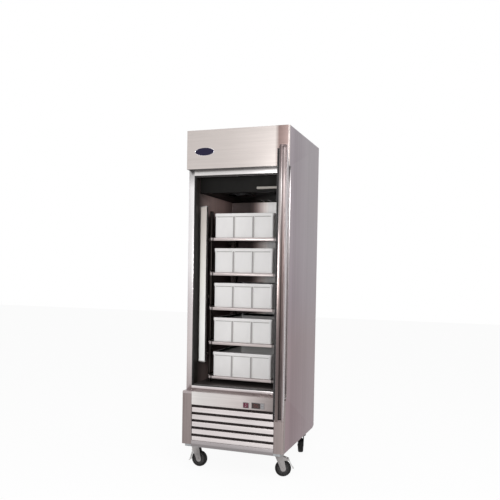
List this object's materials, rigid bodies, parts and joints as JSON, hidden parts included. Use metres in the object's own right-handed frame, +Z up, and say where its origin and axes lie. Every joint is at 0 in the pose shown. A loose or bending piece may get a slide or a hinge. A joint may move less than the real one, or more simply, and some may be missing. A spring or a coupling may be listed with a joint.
{
  "type": "commercial fish refrigerator",
  "caption": "Upright stainless steel refrigerator with a wide door, pull-out fish crates on drip shelves, a louvred machine base and braked casters.",
  "frame": {"origin": "middle of the whole on the floor, with the door open as at rest", "axes": "+Z up, +X to the right as seen from the front, +Y towards the back of the cabinet"},
  "size_m": [0.844, 1.3812, 2.138],
  "materials": {
    "stainless": "satin",
    "inner_steel": "satin",
    "galvanised": "satin",
    "cooler_cover": "matte",
    "foam": "matte",
    "badge": "gloss",
    "grey_plastic": "matte",
    "control_plastic": "matte",
    "key_plastic": "satin",
    "display": "gloss",
    "red_rocker": "gloss",
    "lamp_aluminium": "satin",
    "lamp_white": "satin",
    "finned_aluminium": "satin",
    "motor_black": "satin",
    "fan_plastic": "satin",
    "copper": "satin",
    "hinge_steel": "satin",
    "bush_plastic": "satin",
    "gasket_rubber": "matte",
    "grip_plastic": "matte",
    "crate_white": "satin",
    "caster_zinc": "satin",
    "pedal_steel": "satin",
    "wheel_rubber": "satin"
  },
  "bodies": {
    "cabinet": {"side_panel_left": "stainless", "side_panel_right": "stainless", "back_panel": "galvanised", "top_panel": "stainless", "header_fascia": "stainless", "badge_plate": "badge", "base_frame": "galvanised", "foam_insulation": "foam", "inner_liner": "inner_steel", "door_frame": "stainless", "breaker_trim": "grey_plastic", "corner_posts": "stainless", "control_panel": "stainless", "louvre_grille": "stainless", "rear_grille": "galvanised", "rack_uprights": "stainless", "rack_runners": "stainless", "drip_shelves": "stainless", "lamp_housings": "lamp_aluminium", "lamp_diffusers": "lamp_white", "cooler_housing": "cooler_cover", "evaporator_coil": "finned_aluminium", "fan_motors": "motor_black", "compressor": "motor_black", "condenser_coil": "finned_aluminium", "condenser_shroud": "galvanised", "refrigerant_lines": "copper", "drain_pan": "galvanised", "cable_gland": "grey_plastic", "hinge_brackets": "hinge_steel", "control_housings": "control_plastic", "controller_display": "display", "caster_plates": "caster_zinc", "panel_screws": "hinge_steel"},
    "door": {"door_skin": "stainless", "door_foam": "foam", "door_liner": "inner_steel", "door_gasket": "gasket_rubber", "door_grip": "grip_plastic", "hinge_bushes": "bush_plastic"},
    "cooler_fan": {"cooler_fan_blade": "fan_plastic"},
    "condenser_fan": {"condenser_fan_blade": "fan_plastic"},
    "power_rocker": {"rocker_switch": "red_rocker"},
    "up_key": {"key_up": "key_plastic"},
    "down_key": {"key_down": "key_plastic"},
    "crate_1_body": {"crate_1": "crate_white"},
    "crate_2_body": {"crate_2": "crate_white"},
    "crate_3_body": {"crate_3": "crate_white"},
    "crate_4_body": {"crate_4": "crate_white"},
    "crate_5_body": {"crate_5": "crate_white"},
    "swivel_front_left": {"caster_fork_front_left": "caster_zinc"},
    "wheel_front_left": {"caster_wheel_front_left": "wheel_rubber"},
    "pedal_front_left": {"brake_pedal_front_left": "pedal_steel"},
    "swivel_front_right": {"caster_fork_front_right": "caster_zinc"},
    "wheel_front_right": {"caster_wheel_front_right": "wheel_rubber"},
    "pedal_front_right": {"brake_pedal_front_right": "pedal_steel"},
    "swivel_rear_left": {"caster_fork_rear_left": "caster_zinc"},
    "wheel_rear_left": {"caster_wheel_rear_left": "wheel_rubber"},
    "swivel_rear_right": {"caster_fork_rear_right": "caster_zinc"},
    "wheel_rear_right": {"caster_wheel_rear_right": "wheel_rubber"}
  },
  "joints": [
    {"name": "door_hinge", "type": "hinge", "parent": "cabinet", "child": "door", "pos_m": [0.235, -0.05006, 1.2], "axis": [0, 0, 1], "range_deg": [-105.4, 14.6]},
    {"name": "crate_1_slide", "type": "slide", "parent": "cabinet", "child": "crate_1_body", "axis": [0, -1, 0], "range_m": [0, 0.4]},
    {"name": "crate_2_slide", "type": "slide", "parent": "cabinet", "child": "crate_2_body", "axis": [0, -1, 0], "range_m": [0, 0.4]},
    {"name": "crate_3_slide", "type": "slide", "parent": "cabinet", "child": "crate_3_body", "axis": [0, -1, 0], "range_m": [0, 0.4]},
    {"name": "crate_4_slide", "type": "slide", "parent": "cabinet", "child": "crate_4_body", "axis": [0, -1, 0], "range_m": [0, 0.4]},
    {"name": "crate_5_slide", "type": "slide", "parent": "cabinet", "child": "crate_5_body", "axis": [0, -1, 0], "range_m": [0, 0.4]},
    {"name": "cooler_fan_spin", "type": "hinge", "parent": "cabinet", "child": "cooler_fan", "pos_m": [-0.146, 0.20764, 1.7642], "axis": [0, 0, 1], "continuous": true},
    {"name": "condenser_fan_spin", "type": "hinge", "parent": "cabinet", "child": "condenser_fan", "pos_m": [-0.126, 0.02964, 0.274], "axis": [0, 1, 0], "continuous": true},
    {"name": "power_rocker_tilt", "type": "hinge", "parent": "cabinet", "child": "power_rocker", "pos_m": [0.0073, -0.06536, 0.4413], "axis": [1, 0, 0], "range_deg": [0, 14]},
    {"name": "up_key_press", "type": "slide", "parent": "cabinet", "child": "up_key", "axis": [0, 1, 0], "range_m": [0, 0.0008], "stiffness_N_per_m": 400},
    {"name": "down_key_press", "type": "slide", "parent": "cabinet", "child": "down_key", "axis": [0, 1, 0], "range_m": [0, 0.0008], "stiffness_N_per_m": 400},
    {"name": "swivel_front_left_turn", "type": "hinge", "parent": "cabinet", "child": "swivel_front_left", "pos_m": [-0.366, 0.02564, 0.1357], "axis": [0, 0, 1], "continuous": true},
    {"name": "wheel_front_left_roll", "type": "hinge", "parent": "swivel_front_left", "child": "wheel_front_left", "pos_m": [-0.338, 0.02564, 0.05], "axis": [0, 1, 0], "continuous": true},
    {"name": "pedal_front_left_lift", "type": "hinge", "parent": "swivel_front_left", "child": "pedal_front_left", "pos_m": [-0.381, 0.02564, 0.106], "axis": [0, 1, 0], "range_deg": [0, 18]},
    {"name": "swivel_front_right_turn", "type": "hinge", "parent": "cabinet", "child": "swivel_front_right", "pos_m": [0.194, 0.02564, 0.1357], "axis": [0, 0, 1], "continuous": true},
    {"name": "wheel_front_right_roll", "type": "hinge", "parent": "swivel_front_right", "child": "wheel_front_right", "pos_m": [0.22031, 0.03522, 0.05], "axis": [-0.342, 0.9397, 0], "continuous": true},
    {"name": "pedal_front_right_lift", "type": "hinge", "parent": "swivel_front_right", "child": "pedal_front_right", "pos_m": [0.25132, 0.0465, 0.106], "axis": [0.342, -0.9397, 0], "range_deg": [0, 18]},
    {"name": "swivel_rear_left_turn", "type": "hinge", "parent": "cabinet", "child": "swivel_rear_left", "pos_m": [-0.366, 0.56064, 0.1357], "axis": [0, 0, 1], "continuous": true},
    {"name": "wheel_rear_left_roll", "type": "hinge", "parent": "swivel_rear_left", "child": "wheel_rear_left", "pos_m": [-0.37558, 0.58695, 0.05], "axis": [-0.9397, -0.342, 0], "continuous": true},
    {"name": "swivel_rear_right_turn", "type": "hinge", "parent": "cabinet", "child": "swivel_rear_right", "pos_m": [0.194, 0.56064, 0.1357], "axis": [0, 0, 1], "continuous": true},
    {"name": "wheel_rear_right_roll", "type": "hinge", "parent": "swivel_rear_right", "child": "wheel_rear_right", "pos_m": [0.18442, 0.58695, 0.05], "axis": [-0.9397, -0.342, 0], "continuous": true}
  ]
}
